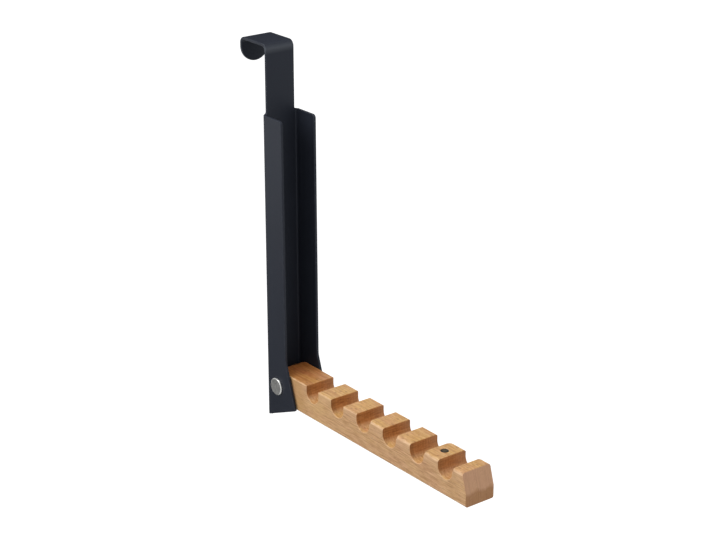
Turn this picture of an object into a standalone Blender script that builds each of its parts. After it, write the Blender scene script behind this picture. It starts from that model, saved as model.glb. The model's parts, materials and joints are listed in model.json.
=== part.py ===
"""Over-door coat rack: a folded steel bracket that hooks over a door, with a notched arm that folds up.

Metres, +Z up, front towards -Y. The origin lies on top of the door: under the hook's plate, in the middle
of its width and halfway through the door's thickness. The arm is modelled lowered, level with the floor.
"""

import math

import bmesh
import bpy
from mathutils import Matrix, Vector

MM = 0.001

# Fits and finish
CLEARANCE = 0.3 * MM
ARC_STEP = math.radians(11.25)
SMOOTH_LIMIT = math.radians(35)
WELD = 0.00001

# Bracket: one sheet of steel, folded at the hook and at the two flanges
SHEET = 2.5 * MM
SHEET_EDGE = 0.4 * MM
DOOR_GAP = 35.5 * MM
HOOK_DROP = 24.4 * MM
HOOK_BEND = 3.5 * MM
NECK_HEIGHT = 61.5 * MM
SHOULDER_FILLET = 2.0 * MM
CHANNEL_HEIGHT = 296.3 * MM
CHANNEL_BEND = 1.75 * MM
FLANGE_TOP_DEPTH = 29.2 * MM
FLANGE_DEPTH = 30.5 * MM
FLANGE_TOP_RADIUS = 3.5 * MM
FLARE_DEPTH = 45.4 * MM
FLARE_RISE = 63.0 * MM
FLARE_BLEND = 18.0 * MM
FLARE_CORNER_RISE = 19.7 * MM
FLARE_CORNER_RADIUS = 1.5 * MM

# Arm: a beech bar, notched for hangers, whose long edges are rounded more and more towards the tip
ARM_WIDTH = 31.6 * MM
ARM_HEIGHT = 31.0 * MM
REAR_EDGE = 1.0 * MM
TIP_EDGE = 3.5 * MM
NOTCH_EDGE = 0.7 * MM
TOOTH_RADIUS = 0.8 * MM
FIRST_NOTCH = 56.0 * MM
NOTCH_COUNT = 6
NOTCH_PITCH = 37.5 * MM
NOTCH_WIDTH = 18.0 * MM
NOTCH_DEPTH = 14.5 * MM
TIP_TOP = 13.0 * MM
TIP_SLANT = 5.5 * MM
TIP_LAND = 12.5 * MM
TIP_RADIUS = 1.0 * MM
TIP_REAR_RADIUS = 2.2 * MM
HEEL_RADIUS = 1.0 * MM
BAR_MARGIN = 1.0 * MM
BAR_SPARE = 0.02 * MM

# Rear corners of the last teeth, sanded round at the top
LEFT_CORNERS = 4
RIGHT_CORNERS = 2
LEFT_CORNER_RADIUS = 5.0 * MM
RIGHT_CORNER_RADIUS = 9.0 * MM
CORNER_SPARE = 0.04 * MM

# Magnet let into the top of the last whole tooth, which meets the web when the arm is up
MAGNET_DIAMETER = 7.0 * MM
MAGNET_THICKNESS = 4.0 * MM
MAGNET_EDGE = 0.3 * MM
MAGNET_SINK = 0.1 * MM

# Pivot: a headed sleeve from the left, a screw into it from the right, a washer on each side of the arm
PIVOT_RISE = 35.7 * MM
PIVOT_DROP = 14.5 * MM
FOLD_GAP = 0.4 * MM
SLEEVE_DIAMETER = 9.0 * MM
HEAD_DIAMETER = 16.5 * MM
HEAD_THICKNESS = 1.7 * MM
HEAD_EDGE = 0.7 * MM
SCREW_DIAMETER = 6.0 * MM
SCREW_REACH = 20.0 * MM
SCREW_CHAMFER = 0.8 * MM
SOCKET_WIDTH = 4.0 * MM
SOCKET_DEPTH = 1.5 * MM
WASHER_DIAMETER = 18.0 * MM
WASHER_THICKNESS = 0.6 * MM
WASHER_EDGE = 0.15 * MM

# Foam pads behind the channel, which keep the steel off the door
PAD_WIDTH = 22.0 * MM
PAD_HEIGHT = 40.0 * MM
PAD_THICKNESS = 1.5 * MM
PAD_RADIUS = 3.0 * MM
PAD_EDGE = 0.3 * MM
PAD_INSET = 30.0 * MM

# Worked out from the sizes above
CHANNEL_INSIDE = ARM_WIDTH + 2 * (WASHER_THICKNESS + 2 * CLEARANCE)
CHANNEL_WIDTH = CHANNEL_INSIDE + 2 * SHEET
STRIP_WIDTH = CHANNEL_INSIDE - 2 * CHANNEL_BEND
CHANNEL_TOP = -NECK_HEIGHT
CHANNEL_BOTTOM = CHANNEL_TOP - CHANNEL_HEIGHT
DOOR_FACE = -DOOR_GAP / 2
WEB_FACE = DOOR_FACE - SHEET
PIVOT = Vector((0, WEB_FACE - FOLD_GAP - PIVOT_DROP, CHANNEL_BOTTOM + PIVOT_RISE))
PIVOT_FROM_DOOR = DOOR_FACE - PIVOT.y
HOLE_RADIUS = SLEEVE_DIAMETER / 2 + CLEARANCE
ROUND_SIDES = 2 * math.ceil(math.pi / ARC_STEP)
BEND_SLICES = math.ceil(math.pi / 2 / ARC_STEP)

# Bends at the middle of the sheet
HOOK_RADIUS = HOOK_BEND + SHEET / 2
HOOK_LENGTH = HOOK_RADIUS * math.pi / 2
FLANGE_RADIUS = CHANNEL_BEND + SHEET / 2
FLANGE_LENGTH = FLANGE_RADIUS * math.pi / 2

# Heights in the flat blank: where the hook's two bends start and where its tab ends
FRONT_BEND_START = SHEET / 2 - HOOK_RADIUS
BACK_BEND_START = FRONT_BEND_START + HOOK_LENGTH + DOOR_GAP + SHEET - 2 * HOOK_RADIUS
TAB_END = BACK_BEND_START + HOOK_LENGTH + FRONT_BEND_START - SHEET + HOOK_DROP

# Local X forward, local Y up, local Z to the left: the way side outlines lie
SIDE_VIEW = Matrix(((0, 0, -1), (-1, 0, 0), (0, 1, 0)))
# Local X right, local Y up, local Z forward: the way front outlines lie
FRONT_VIEW = Matrix(((1, 0, 0), (0, 0, -1), (0, 1, 0)))
# Local Z along the pivot, pointing left or right
AXIS_LEFT = Matrix(((0, 0, -1), (0, 1, 0), (1, 0, 0)))
AXIS_RIGHT = Matrix(((0, 0, 1), (0, 1, 0), (-1, 0, 0)))


def clear_scene():
    for old in list(bpy.data.objects):
        bpy.data.objects.remove(old, do_unlink=True)


def new_collection(name):
    collection = bpy.data.collections.new(name)
    bpy.context.scene.collection.children.link(collection)
    return collection


def new_material(name, colour, roughness, metallic):
    material = bpy.data.materials.new(name)
    material.use_nodes = True
    shader = material.node_tree.nodes["Principled BSDF"]
    shader.inputs["Base Color"].default_value = (*colour, 1)
    shader.inputs["Roughness"].default_value = roughness
    shader.inputs["Metallic"].default_value = metallic
    return material


def arc(centre, radius, start, end):
    """Points on an arc, both ends included."""
    steps = max(2, math.ceil(abs(end - start) / ARC_STEP))
    angles = [start + (end - start) * i / steps for i in range(steps + 1)]
    return [Vector((centre[0] + radius * math.cos(a), centre[1] + radius * math.sin(a))) for a in angles]


def circle(centre, radius):
    return arc(centre, radius, 0, 2 * math.pi)[:-1]


def rounded(corners):
    """A closed outline through corners given as (x, y, radius), each rounded by its radius."""
    points = []
    for i, (x, y, radius) in enumerate(corners):
        corner = Vector((x, y))
        back = Vector(corners[i - 1][:2]) - corner
        ahead = Vector(corners[(i + 1) % len(corners)][:2]) - corner
        if radius == 0:
            points.append(corner)
            continue
        half = back.angle(ahead) / 2
        middle = corner + (back.normalized() + ahead.normalized()).normalized() * radius / math.sin(half)
        start = corner + back.normalized() * radius / math.tan(half) - middle
        turn = math.copysign(math.pi - 2 * half, ahead.cross(back))
        first = math.atan2(start.y, start.x)
        points += arc(middle, radius, first, first + turn)
    return drop_repeats(points)


def drop_repeats(points):
    return [p for i, p in enumerate(points) if (p - points[i - 1]).length > WELD]


def plate(name, loops, thickness, edge, view, rim_steps=1):
    """A flat plate with the outline loops[0], a hole for each other loop, and rims rounded by edge.

    With rim_steps of 0 the rims are chamfered instead.
    """
    curve = bpy.data.curves.new(name, "CURVE")
    curve.dimensions = "2D"
    curve.fill_mode = "BOTH"
    curve.extrude = thickness / 2 - edge
    curve.bevel_depth = edge
    curve.bevel_resolution = rim_steps
    curve.offset = -edge
    for loop in loops:
        spline = curve.splines.new("POLY")
        spline.points.add(len(loop) - 1)
        for point, place in zip(spline.points, loop):
            point.co = (*place, 0, 1)
        spline.use_cyclic_u = True
    drawn = bpy.data.objects.new(name + "_outline", curve)
    bpy.context.scene.collection.objects.link(drawn)
    shape = drawn.evaluated_get(bpy.context.evaluated_depsgraph_get())
    mesh = bpy.data.meshes.new_from_object(shape)
    bpy.data.objects.remove(drawn)
    body = bmesh.new()
    body.from_mesh(mesh)
    bmesh.ops.remove_doubles(body, verts=body.verts, dist=WELD)
    bmesh.ops.recalc_face_normals(body, faces=body.faces)
    body.to_mesh(mesh)
    body.free()
    mesh.name = name
    piece = bpy.data.objects.new(name, mesh)
    piece.rotation_euler = view.to_euler()
    return piece


def turned(name, profile, view):
    """A body turned about its local Z axis from a profile of (radius, height) points, top to bottom."""
    mesh = bpy.data.meshes.new(name)
    body = bmesh.new()
    points = [body.verts.new((radius, 0, height)) for radius, height in profile]
    for first, second in zip(points, points[1:]):
        body.edges.new((first, second))
    body.to_mesh(mesh)
    body.free()
    piece = bpy.data.objects.new(name, mesh)
    piece.rotation_euler = view.to_euler()
    screw = piece.modifiers.new("turn", "SCREW")
    screw.axis = "Z"
    screw.steps = ROUND_SIDES
    screw.render_steps = ROUND_SIDES
    screw.use_merge_vertices = True
    screw.merge_threshold = WELD
    return piece


def prism(name, radius, height, sides):
    mesh = bpy.data.meshes.new(name)
    body = bmesh.new()
    bmesh.ops.create_cone(body, cap_ends=True, segments=sides, radius1=radius, radius2=radius, depth=height)
    body.to_mesh(mesh)
    body.free()
    return bpy.data.objects.new(name, mesh)


def cut(piece, cutter, cutters, operation="DIFFERENCE"):
    cutters.objects.link(cutter)
    cutter.parent = piece.parent
    cutter.hide_render = True
    cutter.display_type = "WIRE"
    boolean = piece.modifiers.new("cut_" + cutter.name, "BOOLEAN")
    boolean.operation = operation
    boolean.solver = "EXACT"
    boolean.object = cutter


def add_bevel(piece, width):
    bevel = piece.modifiers.new("edges", "BEVEL")
    bevel.width = width
    bevel.limit_method = "ANGLE"
    bevel.angle_limit = SMOOTH_LIMIT


def bend(length, radius, height):
    """Where a point lands that lies past the start of a right-angle bend, as (along, across).

    length runs along the sheet's middle from the start of the bend, radius is the bend's at that middle,
    and height is the point's distance from the middle, towards the bend's centre.
    """
    turn = min(max(length / radius, 0), math.pi / 2)
    straight = max(length - radius * math.pi / 2, 0)
    along = min(length, 0) + (radius - height) * math.sin(turn)
    across = radius - (radius - height) * math.cos(turn) + straight
    return along, across


def blank_side(depth):
    """How far from the blank's middle a flange point lies that ends up depth in front of the door."""
    return STRIP_WIDTH / 2 + FLANGE_LENGTH + depth - SHEET / 2 - FLANGE_RADIUS


def blank_outline():
    half = STRIP_WIDTH / 2
    right = [
        (half, CHANNEL_BOTTOM, 0),
        (blank_side(FLARE_DEPTH), CHANNEL_BOTTOM + FLARE_CORNER_RISE, FLARE_CORNER_RADIUS),
        (blank_side(FLANGE_DEPTH), CHANNEL_BOTTOM + FLARE_RISE, FLARE_BLEND),
        (blank_side(FLANGE_TOP_DEPTH), CHANNEL_TOP, FLANGE_TOP_RADIUS),
        (half, CHANNEL_TOP, SHOULDER_FILLET),
        (half, TAB_END, half),
    ]
    left = [(-across, up, radius) for across, up, radius in reversed(right)]
    return rounded(right + left)


def folded(point):
    """Where a point of the flat blank ends up, given as across, up and through the sheet to the front."""
    across, up, through = point
    half = STRIP_WIDTH / 2
    forward = through
    if abs(across) > half:
        side, forward = bend(abs(across) - half, FLANGE_RADIUS, through)
        across = math.copysign(half + side, across)
    elif up > BACK_BEND_START:
        back, down = bend(up - BACK_BEND_START, HOOK_RADIUS, -through)
        forward = -(DOOR_GAP + SHEET - HOOK_RADIUS) - back
        up = SHEET / 2 - down
    elif up > FRONT_BEND_START:
        rise, back = bend(up - FRONT_BEND_START, HOOK_RADIUS, -through)
        forward = -back
        up = FRONT_BEND_START + rise
    return Vector((across, up, forward))


def make_bracket(parts):
    hole_side = blank_side(PIVOT_FROM_DOOR)
    holes = [circle((side, PIVOT.z), HOLE_RADIUS) for side in (-hole_side, hole_side)]
    piece = plate("bracket", [blank_outline(), *holes], SHEET, SHEET_EDGE, FRONT_VIEW)
    body = bmesh.new()
    body.from_mesh(piece.data)
    for i in range(BEND_SLICES + 1):
        side = STRIP_WIDTH / 2 + FLANGE_LENGTH * i / BEND_SLICES
        rise = HOOK_LENGTH * i / BEND_SLICES
        slice_blank(body, (side, 0, 0), (1, 0, 0))
        slice_blank(body, (-side, 0, 0), (1, 0, 0))
        slice_blank(body, (0, FRONT_BEND_START + rise, 0), (0, 1, 0))
        slice_blank(body, (0, BACK_BEND_START + rise, 0), (0, 1, 0))
    for vert in body.verts:
        vert.co = folded(vert.co)
    body.to_mesh(piece.data)
    body.free()
    piece.location = (0, DOOR_FACE - SHEET / 2, 0)
    parts.objects.link(piece)
    return piece


def slice_blank(body, place, normal):
    geometry = body.verts[:] + body.edges[:] + body.faces[:]
    bmesh.ops.bisect_plane(body, geom=geometry, dist=WELD / 10, plane_co=place, plane_no=normal)


def tooth_front(index):
    """How far in front of the web a tooth ends, counted from 0 at the web."""
    return FIRST_NOTCH + index * NOTCH_PITCH


def arm_tip():
    """How far in front of the pivot the arm ends."""
    return tooth_front(NOTCH_COUNT - 1) + NOTCH_WIDTH + TIP_TOP + TIP_SLANT - PIVOT_DROP - FOLD_GAP


def arm_outline():
    """The arm seen from its side, forward and up from the pivot."""
    web = PIVOT_DROP + FOLD_GAP
    top = PIVOT_DROP
    bottom = PIVOT_DROP - ARM_HEIGHT
    notch_radius = NOTCH_WIDTH / 2
    corners = []
    for i in range(NOTCH_COUNT):
        rear = tooth_front(i) - web
        front = rear + NOTCH_WIDTH
        last = i == NOTCH_COUNT - 1
        corners += [
            (rear, top, TOOTH_RADIUS),
            (rear, top - NOTCH_DEPTH, notch_radius),
            (front, top - NOTCH_DEPTH, notch_radius),
            (front, top, TIP_REAR_RADIUS if last else TOOTH_RADIUS),
        ]
    tip = arm_tip()
    corners += [
        (tip - TIP_SLANT, top, TIP_RADIUS),
        (tip, bottom + TIP_LAND, TIP_RADIUS),
        (tip, bottom, TIP_RADIUS),
        (-PIVOT_DROP, bottom, HEEL_RADIUS),
        (-PIVOT_DROP, top, PIVOT_DROP),
    ]
    return rounded(corners)


def bar_section(edge):
    """The bar cut across, right and up from the pivot: a hair larger than the arm, with round corners."""
    side = ARM_WIDTH / 2 + BAR_SPARE
    top = PIVOT_DROP + BAR_SPARE
    bottom = PIVOT_DROP - ARM_HEIGHT - BAR_SPARE
    return rounded([(side, top, edge), (-side, top, edge), (-side, bottom, edge), (side, bottom, edge)])


def make_bar():
    """The bar that the arm is cut from, lofted from its rear to its tip."""
    mesh = bpy.data.meshes.new("arm_bar")
    body = bmesh.new()
    ends = []
    for forward, edge in ((-PIVOT_DROP - BAR_MARGIN, REAR_EDGE), (arm_tip() + BAR_MARGIN, TIP_EDGE)):
        ends.append([body.verts.new((point.x, -forward, point.y)) for point in bar_section(edge)])
    rear, tip = ends
    for i in range(len(rear)):
        body.faces.new((rear[i - 1], rear[i], tip[i], tip[i - 1]))
    body.faces.new(rear)
    body.faces.new(tip)
    bmesh.ops.recalc_face_normals(body, faces=body.faces)
    body.to_mesh(mesh)
    body.free()
    return bpy.data.objects.new("arm_bar", mesh)


def make_corner(index, side):
    """The tool that rounds a rear corner of the tooth in front of a notch, on the left (-1) or right (1).

    It rounds most at the top, and nothing where the notch's wall starts to curve.
    """
    fade = NOTCH_DEPTH - NOTCH_WIDTH / 2
    at_top = LEFT_CORNER_RADIUS if side < 0 else RIGHT_CORNER_RADIUS
    radius = at_top * (fade + BAR_MARGIN) / fade
    low = PIVOT_DROP - fade
    high = PIVOT_DROP + BAR_MARGIN
    out = BAR_MARGIN
    edge = CORNER_SPARE
    rim = [(p.x, p.y, high) for p in arc((edge - radius, edge - radius), radius, 0, math.pi / 2)]
    upper = [(out, edge - radius, high), *rim, (edge - radius, out, high), (out, out, high)]
    lower = [(out, edge, low), (edge, edge, low), (edge, out, low), (out, out, low)]
    name = f"tooth_corner_{index}_{'left' if side < 0 else 'right'}"
    rear = tooth_front(index) + NOTCH_WIDTH - PIVOT_DROP - FOLD_GAP
    mesh = bpy.data.meshes.new(name)
    body = bmesh.new()
    top = [body.verts.new((side * (ARM_WIDTH / 2 + x), y - rear, z)) for x, y, z in upper]
    first, apex, last, outer = [body.verts.new((side * (ARM_WIDTH / 2 + x), y - rear, z)) for x, y, z in lower]
    body.faces.new(top)
    body.faces.new((first, apex, last, outer))
    body.faces.new((top[0], top[1], apex, first))
    body.faces.new((top[-3], top[-2], last, apex))
    body.faces.new((top[-2], top[-1], outer, last))
    body.faces.new((top[-1], top[0], first, outer))
    for here, there in zip(top[1:-2], top[2:-2]):
        body.faces.new((here, there, apex))
    bmesh.ops.recalc_face_normals(body, faces=body.faces)
    body.to_mesh(mesh)
    body.free()
    return bpy.data.objects.new(name, mesh)


def make_arm(parts, cutters, pivot):
    bore = circle((0, 0), HOLE_RADIUS)
    arm = plate("hanger_arm", [arm_outline(), bore], ARM_WIDTH, NOTCH_EDGE, SIDE_VIEW)
    arm.parent = pivot
    parts.objects.link(arm)
    cut(arm, make_bar(), cutters, "INTERSECT")
    for side, count in ((-1, LEFT_CORNERS), (1, RIGHT_CORNERS)):
        for index in range(NOTCH_COUNT - count, NOTCH_COUNT):
            cut(arm, make_corner(index, side), cutters)
    last_tooth = tooth_front(NOTCH_COUNT - 1) - (NOTCH_PITCH - NOTCH_WIDTH) / 2
    forward = last_tooth - PIVOT_DROP - FOLD_GAP
    seat = PIVOT_DROP - MAGNET_SINK - MAGNET_THICKNESS
    magnet = prism("arm_magnet", MAGNET_DIAMETER / 2, MAGNET_THICKNESS, ROUND_SIDES)
    magnet.parent = pivot
    magnet.location = (0, -forward, seat + MAGNET_THICKNESS / 2)
    add_bevel(magnet, MAGNET_EDGE)
    parts.objects.link(magnet)
    depth = MAGNET_SINK + MAGNET_THICKNESS + CLEARANCE
    pocket = prism("magnet_pocket", MAGNET_DIAMETER / 2 + CLEARANCE, 2 * depth, ROUND_SIDES)
    pocket.location = (0, -forward, PIVOT_DROP)
    cut(arm, pocket, cutters)
    return arm, magnet


def head_profile(top):
    """The outer half of a flat head, from its middle out and down to its underside."""
    radius = HEAD_DIAMETER / 2
    return [
        (0, top),
        (radius - HEAD_EDGE, top),
        (radius, top - HEAD_EDGE),
        (radius, top - HEAD_THICKNESS),
    ]


def make_pivot(parts, cutters, pivot):
    seat = CHANNEL_WIDTH / 2 + CLEARANCE
    top = seat + HEAD_THICKNESS
    sleeve_radius = SLEEVE_DIAMETER / 2
    thread_radius = SCREW_DIAMETER / 2
    sleeve_end = -(CHANNEL_WIDTH / 2 - CLEARANCE)
    screw_end = seat - SCREW_REACH
    thread_end = thread_radius - screw_end
    sleeve = turned("pivot_sleeve", head_profile(top) + [
        (sleeve_radius, seat),
        (sleeve_radius, sleeve_end),
        (thread_radius + CLEARANCE, sleeve_end),
        (thread_radius + CLEARANCE, thread_end),
        (0, thread_end),
    ], AXIS_LEFT)
    screw = turned("pivot_screw", head_profile(top) + [
        (thread_radius, seat),
        (thread_radius, screw_end + SCREW_CHAMFER),
        (thread_radius - SCREW_CHAMFER, screw_end),
        (0, screw_end),
    ], AXIS_RIGHT)
    for piece in (sleeve, screw):
        piece.parent = pivot
        parts.objects.link(piece)
    socket = prism("screw_socket", SOCKET_WIDTH / math.sqrt(3), 2 * SOCKET_DEPTH, 6)
    socket.rotation_euler = AXIS_RIGHT.to_euler()
    socket.location = (top, 0, 0)
    cut(screw, socket, cutters)
    return sleeve, screw


def make_washers(parts, pivot):
    middle = ARM_WIDTH / 2 + CLEARANCE + WASHER_THICKNESS / 2
    washers = []
    for name, place in (("washer_left", -middle), ("washer_right", middle)):
        loops = [circle((0, 0), WASHER_DIAMETER / 2), circle((0, 0), HOLE_RADIUS)]
        washer = plate(name, loops, WASHER_THICKNESS, WASHER_EDGE, SIDE_VIEW, 0)
        washer.parent = pivot
        washer.location = (place, 0, 0)
        parts.objects.link(washer)
        washers.append(washer)
    return washers


def make_pads(parts):
    half_width = PAD_WIDTH / 2
    half_height = PAD_HEIGHT / 2
    corners = [(half_width, half_height), (-half_width, half_height), (-half_width, -half_height),
               (half_width, -half_height)]
    outline = rounded([(*corner, PAD_RADIUS) for corner in corners])
    heights = {
        "door_pad_upper": CHANNEL_TOP - PAD_INSET - half_height,
        "door_pad_lower": CHANNEL_BOTTOM + PAD_INSET + half_height,
    }
    pads = []
    for name, height in heights.items():
        pad = plate(name, [outline], PAD_THICKNESS, PAD_EDGE, FRONT_VIEW, 0)
        pad.location = (0, DOOR_FACE + CLEARANCE + PAD_THICKNESS / 2, height)
        parts.objects.link(pad)
        pads.append(pad)
    return pads


def finish(pieces, material):
    for piece in pieces:
        piece.data.materials.append(material)
        piece.data.shade_smooth()
        piece.data.set_sharp_from_angle(angle=SMOOTH_LIMIT)


def main():
    clear_scene()
    parts = new_collection("over_door_coat_rack")
    cutters = new_collection("cutters")
    pivot = bpy.data.objects.new("arm_pivot", None)
    pivot.location = PIVOT
    parts.objects.link(pivot)

    bracket = make_bracket(parts)
    arm, magnet = make_arm(parts, cutters, pivot)
    hardware = make_pivot(parts, cutters, pivot)
    washers = make_washers(parts, pivot)
    pads = make_pads(parts)

    finish([bracket], new_material("black_powder_coat", (0.026, 0.028, 0.033), 0.55, 0.0))
    finish([arm], new_material("beech", (0.52, 0.28, 0.12), 0.5, 0.0))
    finish([magnet], new_material("magnet_nickel", (0.12, 0.12, 0.11), 0.35, 1.0))
    finish(hardware, new_material("nickel_plate", (0.62, 0.61, 0.58), 0.3, 1.0))
    finish(washers, new_material("nylon", (0.75, 0.74, 0.7), 0.5, 0.0))
    finish(pads, new_material("black_foam", (0.03, 0.03, 0.032), 0.9, 0.0))
    bpy.context.view_layer.update()


main()
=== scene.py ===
"""Looks of the over-door coat rack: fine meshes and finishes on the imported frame, in a white studio."""

import json
import math

import bmesh
import bpy
from mathutils import Matrix, Vector


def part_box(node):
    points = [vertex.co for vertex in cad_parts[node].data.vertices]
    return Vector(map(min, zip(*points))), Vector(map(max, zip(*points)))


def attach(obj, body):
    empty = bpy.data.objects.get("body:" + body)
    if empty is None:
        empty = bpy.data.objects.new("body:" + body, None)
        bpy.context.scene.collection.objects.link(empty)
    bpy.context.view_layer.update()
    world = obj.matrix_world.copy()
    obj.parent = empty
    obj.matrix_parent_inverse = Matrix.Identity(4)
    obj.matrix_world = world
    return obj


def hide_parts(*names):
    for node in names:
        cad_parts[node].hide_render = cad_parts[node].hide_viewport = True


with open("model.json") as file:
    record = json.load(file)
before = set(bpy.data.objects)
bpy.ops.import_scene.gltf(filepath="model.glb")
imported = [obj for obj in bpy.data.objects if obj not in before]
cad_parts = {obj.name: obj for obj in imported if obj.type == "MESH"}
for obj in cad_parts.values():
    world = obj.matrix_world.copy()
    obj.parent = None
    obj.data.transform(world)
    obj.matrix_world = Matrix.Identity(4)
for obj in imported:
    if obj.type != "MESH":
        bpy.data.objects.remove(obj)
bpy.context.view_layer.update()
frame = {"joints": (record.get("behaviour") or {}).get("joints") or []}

MM = 0.001
ARC_STEP = math.radians(6)
RIM_STEPS = 3
SMOOTH_LIMIT = math.radians(40)
WELD = 0.01 * MM
STRAIGHT = math.radians(179)

# Places and sizes read from the frame
PIVOT = Vector(frame["joints"][0]["pos_m"])
BRACKET_LOW, BRACKET_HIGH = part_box("bracket")
ARM_LOW, ARM_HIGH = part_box("hanger_arm")
MAGNET_LOW, MAGNET_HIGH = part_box("arm_magnet")
MAGNET_MIDDLE = (MAGNET_LOW + MAGNET_HIGH) / 2
MAGNET_RADIUS = (MAGNET_HIGH.x - MAGNET_LOW.x) / 2
SLEEVE_LOW, SLEEVE_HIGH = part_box("pivot_sleeve")
SCREW_LOW, SCREW_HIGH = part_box("pivot_screw")

# Bracket
SHEET = BRACKET_HIGH.z
SHEET_EDGE = 0.5 * MM
DOOR_GAP = 2 * (BRACKET_HIGH.y - SHEET)
DOOR_FACE = -DOOR_GAP / 2
HOOK_DROP = 24.4 * MM
HOOK_BEND = 3.5 * MM
CHANNEL_TOP = -61.5 * MM
CHANNEL_BOTTOM = BRACKET_LOW.z
CHANNEL_BEND = 1.75 * MM
CHANNEL_WIDTH = 2 * BRACKET_HIGH.x
STRIP_WIDTH = CHANNEL_WIDTH - 2 * (SHEET + CHANNEL_BEND)
SHOULDER_FILLET = 2.0 * MM
FLANGE_TOP_DEPTH = 29.2 * MM
FLANGE_DEPTH = 30.5 * MM
FLANGE_TOP_RADIUS = 3.5 * MM
FLARE_DEPTH = DOOR_FACE - BRACKET_LOW.y
FLARE_RISE = 63.0 * MM
FLARE_BLEND = 18.0 * MM
FLARE_CORNER_RISE = 19.7 * MM
FLARE_CORNER_RADIUS = 1.5 * MM
HOLE_RADIUS = 4.8 * MM

# Bends at the middle of the sheet, and where they lie in the flat blank
HOOK_RADIUS = HOOK_BEND + SHEET / 2
HOOK_LENGTH = HOOK_RADIUS * math.pi / 2
FLANGE_RADIUS = CHANNEL_BEND + SHEET / 2
FLANGE_LENGTH = FLANGE_RADIUS * math.pi / 2
FRONT_BEND_START = SHEET / 2 - HOOK_RADIUS
BACK_BEND_START = FRONT_BEND_START + HOOK_LENGTH + DOOR_GAP + SHEET - 2 * HOOK_RADIUS
TAB_END = BACK_BEND_START + HOOK_LENGTH + FRONT_BEND_START - SHEET + HOOK_DROP
BEND_SLICES = 12

# Arm, measured forward from its rear and up from its bottom, with long edges rounded more towards the tip
REAR_EDGE = 1.0 * MM
TIP_EDGE = 3.5 * MM
BAR_MARGIN = 1.0 * MM
BAR_SPARE = 0.02 * MM
NOTCH_EDGE = 0.7 * MM
TOOTH_RADIUS = 0.8 * MM
HEEL_RADIUS = 1.0 * MM
FIRST_NOTCH = 55.6 * MM
NOTCH_COUNT = 6
NOTCH_PITCH = 37.5 * MM
NOTCH_WIDTH = 18.0 * MM
NOTCH_DEPTH = 14.5 * MM
TIP_SLANT = 5.5 * MM
TIP_LAND = 12.5 * MM
TIP_RADIUS = 1.0 * MM
TIP_REAR_RADIUS = 2.2 * MM

# Rear corners of the last teeth, sanded round at the top
LEFT_CORNERS = 4
RIGHT_CORNERS = 2
LEFT_CORNER_RADIUS = 5.0 * MM
RIGHT_CORNER_RADIUS = 9.0 * MM
CORNER_SPARE = 0.04 * MM

# Magnet, pivot, washers and pads
MAGNET_EDGE = 0.4 * MM
POCKET_GAP = 0.3 * MM
POCKET_CHAMFER = 0.15 * MM
HEAD_THICKNESS = 1.7 * MM
HEAD_EDGE = 0.7 * MM
BARREL_RADIUS = 4.5 * MM
THREAD_RADIUS = 3.0 * MM
THREAD_GAP = 0.3 * MM
SCREW_CHAMFER = 0.8 * MM
SOCKET_SIDES = 6
SOCKET_WIDTH = 4.0 * MM
SOCKET_DEPTH = 1.5 * MM
WASHER_EDGE = 0.25 * MM
WASHER_RIM_STEPS = 2
PAD_RADIUS = 3.0 * MM
PAD_EDGE = 0.6 * MM
PAD_CROWN = 0.15 * MM
PAD_RIM_STEPS = 8
PAD_FACE_STEPS = 6
PAD_FACE_REACH = 0.96
PAD_LEAST_ROUND = 0.2

# The band round the hook's front bend that carries a painted highlight: where it starts, is full, fades
# and ends
BEND_HIGHLIGHT_BAND = (-2.0 * HOOK_BEND, -0.8 * HOOK_BEND, -0.5 * HOOK_BEND, 0.3 * HOOK_BEND)

# The heart of the tree, which the arm's growth rings go round, and the mean width of a ring
HEART = PIVOT + Vector((46.0, 0.0, -51.9)) * MM
RING = 2.6 * MM

# How far down from the top the notches' walls carry painted shade, and how far in from the left they are
# darker
WALL_SHADE_DEPTH = 13.0 * MM
LEFT_DARK_WIDTH = 6.0 * MM

# How far the lower edge of the painted light on the tip's slant wavers, and over what height it fades
SLANT_LIGHT_WAVER = 2.5 * MM
SLANT_LIGHT_FADE = 2.0 * MM

# Where the arm's finish and its painted shade and light change: back from the tip, forward from the rear
# and down from the top
TIP_BACK = (8 * MM, 12 * MM)
WALL_SHADE_BACK = (30 * MM, 110 * MM)
BRACKET_SHADOW_FORWARD = (58 * MM, 20 * MM)
BRACKET_SHADOW_END = 60 * MM
FLANGE_SHADE_FORWARD = (58 * MM, 46 * MM)
LIT_BAND_FORWARD = (100 * MM, 75 * MM, 68 * MM, 54 * MM)
PALE_DOWN = (11 * MM, 5 * MM)

# Distance between the fine rings that a lathe left on the pivot's heads
LATHE_RING = 0.3 * MM

# Curvatures, in radians a metre, where an edge starts to look rubbed and to carry a painted highlight,
# and where it does so all over
SOFT_CURVE = 1 / (4 * MM)
SHARP_CURVE = 1 / (1.6 * MM)

# Studio, with sizes in metres
FLOOR_DROP = 2.0
FLOOR_SIZE = 40.0
FLOOR_GREY = 0.8
FLOOR_LIFT = 0.6
CARD_GREY = 0.03
MATTE_ROUGHNESS = 0.9
WORLD_LEVEL = 0.66

# Camera, as it stood for the photograph of 716 by 540 pixels
IMAGE_WIDTH = 716
FOCAL_PIXELS = 1830.3
SENSOR_WIDTH = 36.0
CAMERA_PLACE = Vector((-916.2, -1313.8, 405.1)) * MM
CAMERA_YAW = math.radians(37.815)
CAMERA_PITCH = math.radians(21.364)

# Local X forward, local Y up, local Z to the left: the way side outlines lie
SIDE_VIEW = Matrix(((0, 0, -1), (-1, 0, 0), (0, 1, 0)))
# Local X right, local Y up, local Z forward: the way front outlines lie
FRONT_VIEW = Matrix(((1, 0, 0), (0, 0, -1), (0, 1, 0)))
# Local X left, local Y up, local Z back: the way the pads lie
BACK_VIEW = Matrix(((-1, 0, 0), (0, 0, 1), (0, 1, 0)))
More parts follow.
